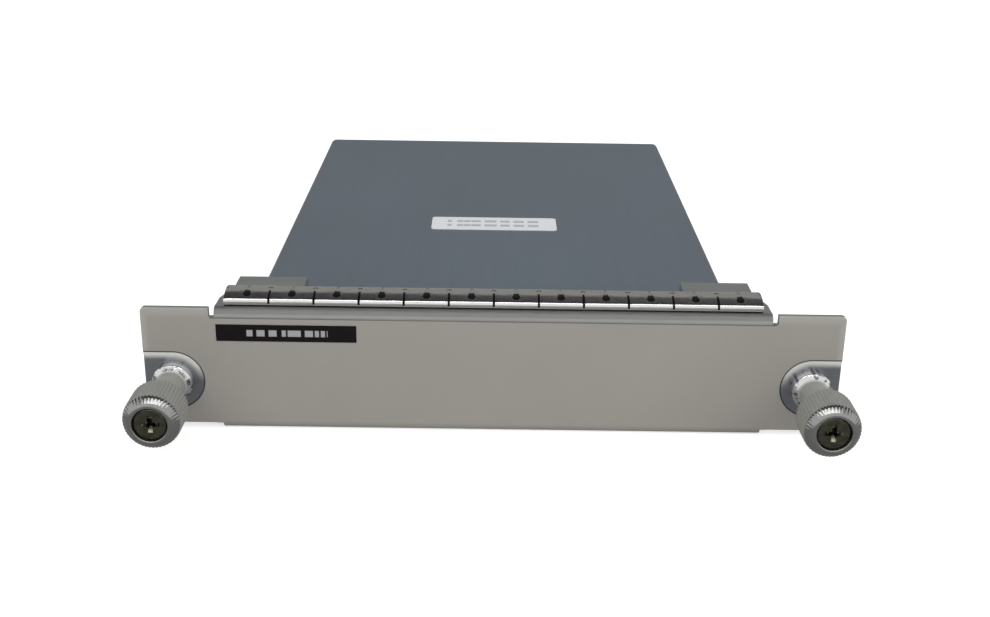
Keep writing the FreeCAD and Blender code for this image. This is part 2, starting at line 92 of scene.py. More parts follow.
def aim_camera(place, pitch, yaw, roll):
    """A camera matrix from a place and three angles: down, to the right and clockwise."""
    level = math.cos(pitch)
    ahead = Vector((math.sin(yaw) * level, math.cos(yaw) * level, -math.sin(pitch)))
    right = Vector((math.cos(yaw), -math.sin(yaw), 0))
    up = right.cross(ahead)
    tilted_right = right * math.cos(roll) + up * math.sin(roll)
    tilted_up = up * math.cos(roll) - right * math.sin(roll)
    turn = Matrix((tilted_right, tilted_up, -ahead)).transposed()
    return Matrix.Translation(place) @ turn.to_4x4()


camera_data = bpy.data.cameras.new("camera")
camera_data.sensor_width = SENSOR_WIDTH
camera_data.lens = FOCAL_PIXELS / FRAME_PIXELS * SENSOR_WIDTH
camera_data.clip_start = NEAREST
camera = bpy.data.objects.new("camera", camera_data)
scene.collection.objects.link(camera)
camera.matrix_world = aim_camera(CAMERA_PLACE, CAMERA_PITCH, CAMERA_YAW, CAMERA_ROLL)
scene.camera = camera
print(f"lens {camera_data.lens:.2f} mm")

# %% [markdown]
# ## Small tools for node materials
# Every finish here is a Principled shader fed by a few nodes. The nodes read the object's own coordinates, in
# millimetres, so that a scratch or a paint edge has a real size and stays where it is when the view changes.
# These helpers keep each material short enough to read in one go.

# %% Material helpers
DARK = (0.03, 0.03, 0.03)


class Finish:
    """A new material with one Principled shader, and helpers to feed its sockets."""

    def __init__(self, name):
        self.material = bpy.data.materials.new(name)
        self.material.use_nodes = True
        self.tree = self.material.node_tree
        self.shader = self.tree.nodes["Principled BSDF"]
        coordinates = self.tree.nodes.new("ShaderNodeTexCoord")
        scaled = self.tree.nodes.new("ShaderNodeVectorMath")
        scaled.operation = "SCALE"
        scaled.inputs["Scale"].default_value = 1 / MM
        self.tree.links.new(coordinates.outputs["Object"], scaled.inputs[0])
        self.place = scaled.outputs["Vector"]
        parts = self.tree.nodes.new("ShaderNodeSeparateXYZ")
        self.tree.links.new(self.place, parts.inputs[0])
        self.x, self.y, self.z = parts.outputs

    def put(self, socket, value):
        """Link an output to a socket, or write a plain value on it."""
        if isinstance(value, bpy.types.NodeSocket):
            self.tree.links.new(value, socket)
        else:
            socket.default_value = value

    def set(self, **sockets):
        """Feed the shader's sockets by their names."""
        for name, value in sockets.items():
            self.put(self.shader.inputs[name.replace("_", " ").title().replace("Ior", "IOR")], value)

    def math(self, operation, first, second=0.0):
        node = self.tree.nodes.new("ShaderNodeMath")
        node.operation = operation
        self.put(node.inputs[0], first)
        self.put(node.inputs[1], second)
        return node.outputs[0]

    def times(self, first, *others):
        """The product of some values."""
        for other in others:
            first = self.math("MULTIPLY", first, other)
        return first

    def most(self, first, *others):
        """The largest of some values."""
        for other in others:
            first = self.math("MAXIMUM", first, other)
        return first

    def inverse(self, value):
        """1 where the value is 0, and 0 where it is 1."""
        return self.math("SUBTRACT", 1.0, value)

    def length(self, first, second):
        """The length of an arrow with these two sides."""
        squares = self.math("ADD", self.times(first, first), self.times(second, second))
        return self.math("SQRT", squares)

    def rise(self, value, low, high):
        """0 below low, 1 above high, and a smooth step between them."""
        node = self.tree.nodes.new("ShaderNodeMapRange")
        node.interpolation_type = "SMOOTHSTEP"
        self.put(node.inputs["Value"], value)
        node.inputs["From Min"].default_value = low
        node.inputs["From Max"].default_value = high
        return node.outputs["Result"]

    def fall(self, value, low, high):
        """1 below low, 0 above high, and a smooth step between them."""
        return self.inverse(self.rise(value, low, high))

    def between(self, value, low, high, soft):
        """1 between low and high, with soft edges."""
        return self.times(self.rise(value, low - soft, low), self.fall(value, high, high + soft))

    def span(self, value, low, high):
        """Stretch a 0 to 1 value to a range."""
        node = self.tree.nodes.new("ShaderNodeMapRange")
        self.put(node.inputs["Value"], value)
        node.inputs["To Min"].default_value = low
        node.inputs["To Max"].default_value = high
        return node.outputs["Result"]

    def noise(self, scale, detail=2.0, stretch=(1, 1, 1)):
        """Noise with so many grains to a millimetre, drawn out along an axis by a small stretch."""
        squeezed = self.tree.nodes.new("ShaderNodeVectorMath")
        squeezed.operation = "MULTIPLY"
        self.put(squeezed.inputs[0], self.place)
        squeezed.inputs[1].default_value = stretch
        node = self.tree.nodes.new("ShaderNodeTexNoise")
        self.put(node.inputs["Vector"], squeezed.outputs["Vector"])
        node.inputs["Scale"].default_value = scale
        node.inputs["Detail"].default_value = detail
        return node.outputs["Fac"]

    def mix(self, share, first, second):
        """Blend two colours, each a socket or a list of three numbers."""
        node = self.tree.nodes.new("ShaderNodeMix")
        node.data_type = "RGBA"
        self.put(node.inputs["Factor"], share)
        for socket, colour in ((node.inputs[6], first), (node.inputs[7], second)):
            self.put(socket, colour if isinstance(colour, bpy.types.NodeSocket) else (*colour, 1.0))
        return node.outputs[2]

    def bump(self, height, depth_mm):
        """Let a height from 0 to 1 tilt the light, as relief of this depth would."""
        node = self.tree.nodes.new("ShaderNodeBump")
        node.inputs["Distance"].default_value = depth_mm * MM
        self.put(node.inputs["Height"], height)
        self.put(self.shader.inputs["Normal"], node.outputs["Normal"])


def wear(piece, finish):
    """Put one material on a piece."""
    piece.data.materials.clear()
    piece.data.materials.append(finish.material)


print("helpers ready")

# %% [markdown]
# ## The painted panel
# The front is a warm grey satin paint over zinc-plated sheet. The paint stops at the upper fold, where the
# bare flange begins, and round the two thumbscrews, where a U-shaped field was masked. One material draws all
# of it: a distance in millimetres from the thumbscrew axis gives the masked field, and the height gives the
# paint edge. The same colour carries painted light too: highlights along the ear edges, low on the bend and
# on the upper rims of the seats, and painted shade in the seats near the ferrules. Painting it by hand on a
# picture would be quicker to start with, but would blur close up.

# %% Panel finish
SCREW_X = (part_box("right_ferrule")[0].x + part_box("right_ferrule")[1].x) / 2 / MM
PANEL_LOW, PANEL_HIGH = (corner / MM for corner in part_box("front_panel"))
SHEET = -PANEL_LOW.y
SEAT_RADIUS = 6.35
SEAT_DEPTH = 0.35
PAINT_EDGE = PANEL_HIGH.z - 2.05
REAR_PAINT = PANEL_LOW.z + 2.8
EAR_INNER = 58.9


def painted_coat(paint, width, middle):
    """Warm grey, with a painted highlight that makes it lighter along the top and outer ends of the ears."""
    cloud = paint.noise(0.05, 3.0)
    coat = paint.mix(cloud, (0.272, 0.259, 0.235), (0.302, 0.288, 0.262))
    # Painted highlight: the coat turns lighter near the top edges and the outer ends of the ears.
    top = paint.times(paint.rise(paint.z, PANEL_HIGH.z - 2.3, PANEL_HIGH.z - 0.6), paint.inverse(middle))
    end = paint.rise(width, PANEL_HIGH.x - 1.7, PANEL_HIGH.x - 0.4)
    return paint.mix(paint.times(paint.most(top, end), 0.6), coat, (0.37, 0.36, 0.335))


def bare_zinc(paint, streak, bend, in_seat, seat_rim_highlight):
    """Streaked plating: greyer on the bend with a painted highlight low on it, and in the seats painted shade
    near the ferrule and a painted highlight in cream along their upper rims.
    """
    flat = paint.mix(streak, (0.42, 0.45, 0.46), (0.58, 0.60, 0.60))
    # Painted highlight: the bend is lighter low down near the paint edge and darker above it.
    bend_highlight = paint.fall(paint.z, PAINT_EDGE + 0.45, PAINT_EDGE + 1.1)
    folded = paint.mix(bend_highlight, (0.24, 0.24, 0.235), (0.50, 0.50, 0.487))
    folded = paint.mix(paint.span(streak, 0.0, 0.5), folded, (0.36, 0.36, 0.35))
    # Painted shade and highlight in the seats: darker blue-grey near the ferrule, cream along the upper rim.
    ground = paint.mix(streak, (0.26, 0.275, 0.30), (0.36, 0.375, 0.40))
    cream = paint.mix(streak, (0.62, 0.62, 0.59), (0.82, 0.82, 0.78))
    return paint.mix(in_seat, paint.mix(bend, flat, folded), paint.mix(seat_rim_highlight, ground, cream))


def panel_finish():
    paint = Finish("panel_paint")
    width = paint.math("ABSOLUTE", paint.x)
    inward = paint.math("MINIMUM", paint.math("SUBTRACT", width, SCREW_X), 0.0)
    off_axis = paint.length(inward, paint.z)
    middle = paint.fall(width, EAR_INNER - 0.3, EAR_INNER - 0.2)
    front = paint.fall(paint.y, -SHEET + SEAT_DEPTH, -SHEET + SEAT_DEPTH + 0.25)

    seat = paint.fall(off_axis, SEAT_RADIUS - 0.05, SEAT_RADIUS + 0.02)
    upper = paint.times(paint.rise(paint.z, PAINT_EDGE, PAINT_EDGE + 0.12), middle)
    rear = paint.times(paint.inverse(front), paint.rise(paint.z, REAR_PAINT, REAR_PAINT + 0.2))
    bare = paint.most(seat, upper, rear)
    bend = paint.times(upper, paint.fall(paint.y, -0.1, 0.3))
    in_seat = paint.times(seat, front)
    # Painted highlight: the seats grow lighter away from the axis and towards their upper rims.
    seat_rim_highlight = paint.times(paint.rise(off_axis, 4.3, 5.8), paint.rise(paint.z, -1.0, 4.0))

    streak = paint.noise(0.35, 4.0, (0.12, 1.0, 1.0))
    zinc = bare_zinc(paint, streak, bend, in_seat, seat_rim_highlight)
    skin = paint.mix(bare, painted_coat(paint, width, middle), zinc)
    rim = paint.between(off_axis, SEAT_RADIUS - 0.05, SEAT_RADIUS + 0.14, 0.1)
    edge = paint.times(paint.between(paint.z, PAINT_EDGE - 0.12, PAINT_EDGE + 0.05, 0.08), middle)
    line = paint.times(paint.most(paint.times(rim, 0.95), paint.times(edge, 0.6)), front)
    paint.set(base_color=paint.mix(line, skin, DARK))
    # Where the painted highlight lies in the seats the zinc is less metallic, so that it reads brighter.
    paint.set(metallic=paint.math("SUBTRACT", bare, paint.times(in_seat, seat_rim_highlight, 0.75)))
    satin = paint.math("ADD", 0.46, paint.times(bare, paint.span(streak, -0.16, -0.02)))
    paint.set(roughness=paint.math("ADD", satin, paint.times(bend, 0.22)))
    paint.bump(paint.times(paint.noise(2.2, 2.0), paint.inverse(bare)), 0.012)
    return paint


PANEL_FINISH = panel_finish()
print(f"thumbscrew axes at x = {SCREW_X:.1f} mm, paint ends at z = {PAINT_EDGE:.2f} mm")

# %% [markdown]
# ## Softened sheet edges
# A real blanked sheet has a small round on every edge, and that round is what catches the light. The CAD
# solid has sharp edges, so the panel, the tray and the marking strip are shown by copies whose coplanar
# triangles are joined and whose sharp edges get a narrow bevel. The copies keep the form of the solids that
# they stand for.
#
# At the ends of the panel's bends the edges lie closer together than the bevel is wide. So the long edges are
# split a little before them, and the bevel, given to each edge as a weight, stops there. Normals weighted by
# area keep the large faces flat in the light, where plain smooth shading would tilt them towards the bevels.

# %% Mesh helpers
TINY = 1e-7


def add_piece(name, mesh):
    piece = bpy.data.objects.new(name, mesh)
    scene.collection.objects.link(piece)
    return piece


def finished_mesh(name, shape):
    """Turn a shape that is being built into a mesh."""
    mesh = bpy.data.meshes.new(name)
    shape.to_mesh(mesh)
    shape.free()
    return mesh


def smooth_by_angle(mesh, degrees):
    """Smooth shading, with edges over the angle left crisp."""
    mesh.polygons.foreach_set("use_smooth", [True] * len(mesh.polygons))
    mesh.set_sharp_from_angle(angle=math.radians(degrees))


def bake_modifiers(piece):
    """Turn a piece and its modifiers into a plain mesh."""
    baked = bpy.data.meshes.new_from_object(piece.evaluated_get(bpy.context.evaluated_depsgraph_get()))
    piece.modifiers.clear()
    piece.data = baked


print("mesh helpers ready")

# %% Softened copies
COPLANAR = math.radians(0.5)
SHARP = math.radians(40)
PANEL_EDGE = 0.16
CRISP_INNER, CRISP_OUTER = 56.5, 58.5
CRISP_REAR = 1.2
CRISP_HEIGHT = 2.6
SNAP = 0.001
BEND_SPLITS = (
    ((-CRISP_OUTER, 0, 0), (1, 0, 0)), ((CRISP_OUTER, 0, 0), (1, 0, 0)), ((0, CRISP_REAR, 0), (0, 1, 0)),
)


def at_bend_end(vertex):
    """Whether a vertex lies at an end of one of the panel's bends."""
    place = vertex.co / MM
    near = CRISP_INNER < abs(place.x) < CRISP_OUTER - SNAP and place.y < CRISP_REAR - SNAP
    return near and not PANEL_LOW.z + CRISP_HEIGHT < place.z < PANEL_HIGH.z - CRISP_HEIGHT


def joined_sheet(node, name, splits):
    """The CAD mesh with coplanar triangles joined, long edges split, and a weight on the edges to soften."""
    shape = bmesh.new()
    shape.from_mesh(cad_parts[node].data)
    bmesh.ops.remove_doubles(shape, verts=shape.verts, dist=TINY)
    bmesh.ops.dissolve_limit(
        shape, angle_limit=COPLANAR, verts=shape.verts, edges=shape.edges, use_dissolve_boundaries=False)
    for point, direction in splits:
        whole = shape.verts[:] + shape.edges[:] + shape.faces[:]
        bmesh.ops.bisect_plane(
            shape, geom=whole, dist=TINY, plane_co=Vector(point) * MM, plane_no=direction)
    weight = shape.edges.layers.float.new("bevel_weight_edge")
    for edge in shape.edges:
        edge[weight] = float(edge.calc_face_angle() > SHARP and not any(map(at_bend_end, edge.verts)))
    return finished_mesh(name, shape)


def softened_copy(node, name, width, splits=()):
    """Stand a copy with bevelled edges in for a sheet. The splits are planes: a point in mm, a direction."""
    piece = add_piece(name, joined_sheet(node, name, splits))
    bevel = piece.modifiers.new("edge", "BEVEL")
    bevel.width = width * MM
    bevel.segments = 2
    bevel.limit_method = "WEIGHT"
    bevel.use_clamp_overlap = False
    bake_modifiers(piece)
    smooth_by_angle(piece.data, 35)
    flatten = piece.modifiers.new("flat faces stay flat", "WEIGHTED_NORMAL")
    flatten.mode = "FACE_AREA"
    flatten.keep_sharp = True
    bake_modifiers(piece)
    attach(piece, "cover")
    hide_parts(node)
    return piece


panel = softened_copy("front_panel", "panel_sheet", PANEL_EDGE, BEND_SPLITS)
wear(panel, PANEL_FINISH)
print("panel:", len(panel.data.polygons), "faces, own normals:", panel.data.has_custom_normals)

# %% [markdown]
# ## The zinc tray
# The tray is plain folded sheet with a satin, slightly blue zinc finish. Long faint streaks run from front to
# rear, as rolling leaves them, over soft clouds. The noise is stretched along Y for the streaks, and a
# second, larger noise varies the roughness so that reflections are not even.

# %% Tray finish
TRAY_EDGE = 0.12


def tray_finish():
    zinc = Finish("tray_zinc")
    streak = zinc.noise(0.9, 3.0, (1.0, 0.03, 1.0))
    cloud = zinc.noise(0.03, 4.0)
    base = zinc.mix(cloud, (0.28, 0.345, 0.43), (0.335, 0.405, 0.50))
    zinc.set(base_color=zinc.mix(zinc.span(streak, 0.0, 0.30), base, (0.44, 0.49, 0.55)))
    zinc.set(metallic=1.0)
    zinc.set(roughness=zinc.span(cloud, 0.34, 0.46))
    zinc.bump(zinc.noise(6.0, 2.0, (1.0, 0.1, 1.0)), 0.004)
    return zinc


tray = softened_copy("tray", "tray_sheet", TRAY_EDGE)
wear(tray, tray_finish())
print("tray:", len(tray.data.polygons), "faces")

# %% [markdown]
# ## The gasket of spring fingers
# A strip of thin bright nickel is rolled at the front and arched back over the flange. Slits from the front
# end in small round holes at the crest, and keyhole slots from the rear end in a teardrop at the front of
# each finger. The section is swept along X first, then one boolean takes out all slits and keyholes, which
# keeps their round ends clean. At last each finger is bent by a few hundredths of a millimetre, as hand-set
# spring metal is. The finish carries painted shade: it is darkened under the arch, along the gap below the
# roll and round the holes at the crest, where little light gets in.

# %% Gasket section
STRIP_LOW, STRIP_HIGH = (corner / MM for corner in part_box("gasket_strip"))
STRIP_SHEET = 0.15
FLANGE_TOP = STRIP_LOW.z
NOSE_RADIUS = 0.9
NOSE_TURN = math.radians(62)
ARCH_RADIUS = 8.0
ARCH_TAIL = math.radians(25)
NOSE_Y = STRIP_LOW.y + NOSE_RADIUS
NOSE_Z = FLANGE_TOP + NOSE_RADIUS
CREST_Y = NOSE_Y + (ARCH_RADIUS - NOSE_RADIUS) * math.cos(NOSE_TURN)
ARCH_Z = NOSE_Z - (ARCH_RADIUS - NOSE_RADIUS) * math.sin(NOSE_TURN)
TAIL_Y = CREST_Y + ARCH_RADIUS * math.sin(ARCH_TAIL)
ROLL_STEPS = 22
ARCH_STEPS = 26
STRIP_COLUMNS = 240


def arc_points(centre_y, centre_z, radius, start, end, steps):
    """Points on an arc, with angles measured from the rear upwards."""
    angles = (start + (end - start) * step / steps for step in range(steps + 1))
    return [(centre_y + radius * math.cos(a), centre_z + radius * math.sin(a)) for a in angles]


def strip_side(inset):
    """One side of the strip, from the rear of its base round the roll to the tail of the arch."""
    roll = arc_points(
        NOSE_Y, NOSE_Z, NOSE_RADIUS - inset, -math.pi / 2, -math.pi - NOSE_TURN, ROLL_STEPS)
    arch = arc_points(
        CREST_Y, ARCH_Z, ARCH_RADIUS - inset, math.pi - NOSE_TURN, math.pi / 2 - ARCH_TAIL, ARCH_STEPS)
    return [(STRIP_HIGH.y, FLANGE_TOP + inset), *roll, *arch[1:]]


def bridge(shape, first, second):
    """Join two rings of points with a band of faces. A ring of one point makes a fan."""
    count = max(len(first), len(second))
    for index in range(count):
        after = (index + 1) % count
        corners = (
            first[index % len(first)], first[after % len(first)],
            second[after % len(second)], second[index % len(second)])
        shape.faces.new(list(dict.fromkeys(corners)))


def swept_strip(name):
    loop = strip_side(0.0) + strip_side(STRIP_SHEET)[::-1]
    shape = bmesh.new()
    rows = []
    for column in range(STRIP_COLUMNS + 1):
        x = STRIP_LOW.x + (STRIP_HIGH.x - STRIP_LOW.x) * column / STRIP_COLUMNS
        rows.append([shape.verts.new((x * MM, y * MM, z * MM)) for y, z in loop])
    for first, second in zip(rows, rows[1:]):
        bridge(shape, first, second)
    shape.faces.new(rows[0])
    shape.faces.new(rows[-1][::-1])
    bmesh.ops.recalc_face_normals(shape, faces=shape.faces)
    return finished_mesh(name, shape)


gasket = add_piece("finger_strip", swept_strip("finger_strip"))
print(f"strip {STRIP_HIGH.x - STRIP_LOW.x:.1f} mm long, crest at y = {CREST_Y:.2f} mm")

# %% Gasket cuts
FINGER_PITCH = 9.32
FINGERS = math.ceil((STRIP_HIGH.x - STRIP_LOW.x) / FINGER_PITCH)
SLIT_HALF = 0.24
SLIT_FLOOR = 0.6
RELIEF_RADIUS = 0.48
RELIEF_STEPS = 20
KEYHOLE_Y = 1.8
KEYHOLE_RADIUS = 0.85
KEYHOLE_FLARE = 1.9
KEYHOLE_STEPS = 14
THROAT_HALF = 0.25
CUT_SPILL = 2


def slit_outline(x):
    """From the front edge to a small round hole at the crest."""
    open_turn = math.asin(SLIT_HALF / RELIEF_RADIUS)
    start = -math.pi / 2 + open_turn
    sweep = 2 * math.pi - 2 * open_turn
    turns = [start + sweep * step / RELIEF_STEPS for step in range(RELIEF_STEPS + 1)]
    hole = [(x + RELIEF_RADIUS * math.cos(a), CREST_Y + RELIEF_RADIUS * math.sin(a)) for a in turns]
    front = NOSE_Y - CUT_SPILL
    return [(x - SLIT_HALF, front), (x + SLIT_HALF, front), *hole]


def keyhole_outline(x):
    """A teardrop that narrows to a slot open at the tail of the arch."""
    turns = [math.pi + math.pi * step / KEYHOLE_STEPS for step in range(KEYHOLE_STEPS + 1)]
    drop = [(x + KEYHOLE_RADIUS * math.cos(a), KEYHOLE_Y + KEYHOLE_RADIUS * math.sin(a)) for a in turns]
    throat = KEYHOLE_Y + KEYHOLE_FLARE
    left, right, tail = x - THROAT_HALF, x + THROAT_HALF, TAIL_Y + 1
    return [*drop, (right, throat), (right, tail), (left, tail), (left, throat)]


def prism(shape, outline, low, high):
    """An upright block over an outline, from one height to another."""
    floor_ring, roof_ring = (
        [shape.verts.new((x * MM, y * MM, z * MM)) for x, y in outline] for z in (low, high))
    shape.faces.new(floor_ring[::-1])
    shape.faces.new(roof_ring)
    bridge(shape, floor_ring, roof_ring)


def upright_blocks(name, outlines, low, high):
    """One mesh of upright blocks, for use as a cutter."""
    shape = bmesh.new()
    for outline in outlines:
        prism(shape, outline, low, high)
    return add_piece(name, finished_mesh(name, shape))


def cut_away(piece, cutter):
    """Take the cutter out of the piece, throw the cutter away and clear the slivers that a cut leaves."""
    boolean = piece.modifiers.new("cut", "BOOLEAN")
    boolean.operation = "DIFFERENCE"
    boolean.solver = "EXACT"
    boolean.object = cutter
    bake_modifiers(piece)
    bpy.data.objects.remove(cutter)
    shape = bmesh.new()
    shape.from_mesh(piece.data)
    bmesh.ops.dissolve_degenerate(shape, dist=TINY, edges=shape.edges)
    bmesh.ops.triangulate(shape, faces=[face for face in shape.faces if len(face.verts) > 4])
    bmesh.ops.dissolve_degenerate(shape, dist=TINY, edges=shape.edges)
    shape.to_mesh(piece.data)
    shape.free()


slits = [slit_outline(FINGER_PITCH * (index - (FINGERS - 2) / 2)) for index in range(FINGERS - 1)]
keyholes = [keyhole_outline(FINGER_PITCH * (index - (FINGERS - 1) / 2)) for index in range(FINGERS)]
cut_away(gasket, upright_blocks(
    "slit_cutter", slits + keyholes, FLANGE_TOP + SLIT_FLOOR, STRIP_HIGH.z + CUT_SPILL))
print(FINGERS, "fingers,", len(gasket.data.polygons), "faces after the cuts")

# %% Gasket set
FINGER_SET = 0.05
SET_STEP, SET_START = 2.4, 0.7
SET_FOOT = 0.5
EDGE_FALL = 0.07
EDGE_REACH = 1.3
DIMPLE = 0.13
DIMPLE_REACH = 1.15
DIMPLE_Y = KEYHOLE_Y + 0.4


def clamped(value):
    return min(max(value, 0.0), 1.0)


def set_fingers(mesh):
    """Bend each finger: its front a little lower, its cut edges rounded off, a dimple at its keyhole."""
    for vertex in mesh.vertices:
        place = vertex.co / MM
        along = place.x / FINGER_PITCH + FINGERS / 2
        finger = min(max(math.floor(along), 0), FINGERS - 1)
        from_edge = min(along - finger, finger + 1 - along) * FINGER_PITCH
        from_middle = (along - finger - 0.5) * FINGER_PITCH
        ahead = clamped((CREST_Y - place.y) / (CREST_Y - STRIP_LOW.y))
        above = clamped((place.z - FLANGE_TOP - SET_FOOT) / NOSE_RADIUS)
        tip = abs(math.sin(finger * SET_STEP + SET_START)) * FINGER_SET * ahead ** 2
        edge = EDGE_FALL * max(0.0, 1 - from_edge / EDGE_REACH) ** 2 * math.sqrt(ahead)
        dimple = DIMPLE * math.exp(-(math.hypot(from_middle, place.y - DIMPLE_Y) / DIMPLE_REACH) ** 2)
        vertex.co.z -= (tip + edge + dimple) * above * MM


set_fingers(gasket.data)
smooth_by_angle(gasket.data, 30)
print("gasket set")

# %% Gasket finish


def gasket_finish():
    nickel = Finish("gasket_nickel")
    scuff = nickel.noise(1.4, 4.0, (0.5, 1.0, 1.0))
    metal = nickel.mix(scuff, (0.66, 0.65, 0.63), (0.82, 0.81, 0.80))
    base_top = FLANGE_TOP + STRIP_SHEET
    # Painted shade: dark under the arch, fading out behind its tail.
    arch_shade = nickel.times(
        nickel.fall(nickel.z, base_top + 0.05, base_top + 0.15),
        nickel.rise(nickel.y, NOSE_Y - 0.3, NOSE_Y + 0.3),
        nickel.fall(nickel.y, TAIL_Y + 1.4, TAIL_Y + 2.6))
    # Painted shadow: a dark line along the gap between the roll and the flange.
    gap_shadow = nickel.times(
        nickel.fall(nickel.z, FLANGE_TOP + 0.24, FLANGE_TOP + 0.42),
        nickel.fall(nickel.y, NOSE_Y, NOSE_Y + 0.2))
    # Painted shade: a dark ring round each hole at the crest, so that the holes read dark.
    past_slit = nickel.math("PINGPONG", nickel.x, FINGER_PITCH / 2)
    past_crest = nickel.math("SUBTRACT", nickel.y, CREST_Y)
    hole_shade = nickel.fall(nickel.length(past_slit, past_crest), RELIEF_RADIUS + 0.05, RELIEF_RADIUS + 0.2)
    # All the painted shade is dark, dull and hardly metallic.
    painted_shade = nickel.most(arch_shade, gap_shadow, nickel.times(hole_shade, 0.9))
    nickel.set(base_color=nickel.mix(painted_shade, metal, DARK))
    nickel.set(metallic=nickel.inverse(painted_shade), specular_ior_level=nickel.span(painted_shade, 0.5, 0.02))
    nickel.set(roughness=nickel.most(nickel.span(scuff, 0.10, 0.22), nickel.times(painted_shade, 0.8)))
    nickel.bump(nickel.noise(0.45, 3.0), 0.02)
    return nickel


wear(gasket, gasket_finish())
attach(gasket, "cover")
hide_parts("gasket_strip")
print("gasket finished")

# %% [markdown]
# ## Turned pieces
# Ferrules, knobs and screws are turned on a lathe, so each is an outline spun about its axis. Corners get a
# small fillet in the outline itself, which gives the ring-shaped glints of turned metal. The knurl and the
# thread are made in the same pass: a groove depth is taken off the radius. A modifier could spin the outline
# too, but it would not let the radius change with the angle.

# %% Lathe
ON_AXIS = 1e-6


def eased(corners, steps=5):
    """Round the corners of an outline: each corner is (y, radius, fillet)."""
    points = []
    for index, (y, r, fillet) in enumerate(corners):
        here = Vector((y, r))
        if fillet == 0:
            points.append(here)
            continue
        before = (Vector(corners[index - 1][:2]) - here).normalized()
        after = (Vector(corners[(index + 1) % len(corners)][:2]) - here).normalized()
        for step in range(steps + 1):
            share = step / steps
            start = here + before * fillet * (1 - share)
            end = here + after * fillet * share
            points.append(start * (1 - share) + end * share)
    return points


def ring_points(shape, y, r, axis_x, columns, groove):
    """One turn of the outline's point at y and r, or a single point where it lies on the axis."""
    if r < ON_AXIS:
        return [shape.verts.new((axis_x * MM, y * MM, 0))]
    ring = []
    for column in range(columns):
        angle = 2 * math.pi * column / columns
        radius = r - groove(y, r, angle) if groove else r
        x = axis_x + radius * math.cos(angle)
        ring.append(shape.verts.new((x * MM, y * MM, radius * math.sin(angle) * MM)))
    return ring


def spun(name, points, axis_x, columns, groove=None, closed=True):
    """Spin an outline about an axis along Y. A groove gives the depth that is cut away at a place."""
    shape = bmesh.new()
    rings = [ring_points(shape, y, r, axis_x, columns, groove) for y, r in points]
    for first, second in zip(rings, rings[1:]):
        bridge(shape, first, second)
    if closed:
        bridge(shape, rings[-1], rings[0])
    bmesh.ops.recalc_face_normals(shape, faces=shape.faces)
    mesh = finished_mesh(name, shape)
    smooth_by_angle(mesh, 40)
    return add_piece(name, mesh)


print("lathe ready")

# %% [markdown]
# ## Ferrules
# Each ferrule is a bright turned sleeve pressed into the ear. Its collar is polished, with a bevel that
# mirrors what stands round it, and the sleeve that the knob slides on is left satin. Two materials on one
# mesh would show both, but a single finish that reads Y blends from one to the other without a hard seam.
# The collar's colour also carries painted reflections: noise breaks it into dark and bright patches.

# %% Ferrules
SEAT_Y = -SHEET + SEAT_DEPTH
COLLAR_FRONT = SEAT_Y - 3.5
COLLAR_BEVEL = 1.1
SLEEVE_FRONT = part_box("left_ferrule")[0].y / MM
CHAMBER_REAR = -4.5
NARROW_RADIUS = 1.75
SHANK_RADIUS = 3.5
COLLAR_RADIUS = 4.3
SLEEVE_RADIUS = 3.0
CHAMBER_RADIUS = 2.45
FERRULE_COLUMNS = 96
SIDES = {"left": -SCREW_X, "right": SCREW_X}


def ferrule_finish():
    steel = Finish("ferrule_steel")
    collar = steel.rise(steel.y, COLLAR_FRONT + 0.1, COLLAR_FRONT + 0.4)
    lathe = steel.noise(5.0, 2.0, (0.05, 1.0, 0.05))
    satin = steel.mix(lathe, (0.32, 0.32, 0.30), (0.42, 0.42, 0.40))
    # Painted reflection: noise breaks the polished collar into dark and bright patches, as if it mirrored the
    # knurl.
    wave = steel.noise(1.2, 1.0, (1.0, 0.1, 1.0))
    polish_and_painted_reflection = steel.mix(steel.rise(wave, 0.34, 0.48), (0.16, 0.16, 0.165), (0.66, 0.66, 0.66))
    steel.set(base_color=steel.mix(collar, satin, polish_and_painted_reflection))
    steel.set(metallic=steel.span(collar, 0.3, 1.0))
    steel.set(roughness=steel.math("ADD", 0.36, steel.times(collar, -0.24)))
    steel.bump(steel.math("ADD", steel.times(lathe, 0.1), steel.times(wave, collar)), 0.12)
    return steel


FERRULE_FINISH = ferrule_finish()
FERRULE_OUTLINE = [
    (0, NARROW_RADIUS, 0.1), (0, SHANK_RADIUS, 0.1),
    (SEAT_Y, SHANK_RADIUS, 0), (SEAT_Y, COLLAR_RADIUS, 0.08),
    (COLLAR_FRONT + COLLAR_BEVEL, COLLAR_RADIUS, 0.3), (COLLAR_FRONT, SLEEVE_RADIUS, 0.15),
    (SLEEVE_FRONT, SLEEVE_RADIUS, 0.15), (SLEEVE_FRONT, CHAMBER_RADIUS, 0.1),
    (CHAMBER_REAR, CHAMBER_RADIUS, 0), (CHAMBER_REAR, NARROW_RADIUS, 0.1),
]
for side, axis_x in SIDES.items():
    ferrule = spun(f"{side}_sleeve", eased(FERRULE_OUTLINE), axis_x, FERRULE_COLUMNS)
    wear(ferrule, FERRULE_FINISH)
    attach(ferrule, "cover")
    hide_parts(f"{side}_ferrule")
    print(ferrule.name, len(ferrule.data.polygons), "faces")

# %% [markdown]
# ## Knurled knobs
# The knobs are satin metal with a straight knurl that runs out into a wide front bevel. The knurled grip is
# dull, so part of its light is scattered as from paint, while the bevel is turned bright. With real ridges
# the light breaks up over the knob as it does in the picture, which a bump alone would not do at its outline.

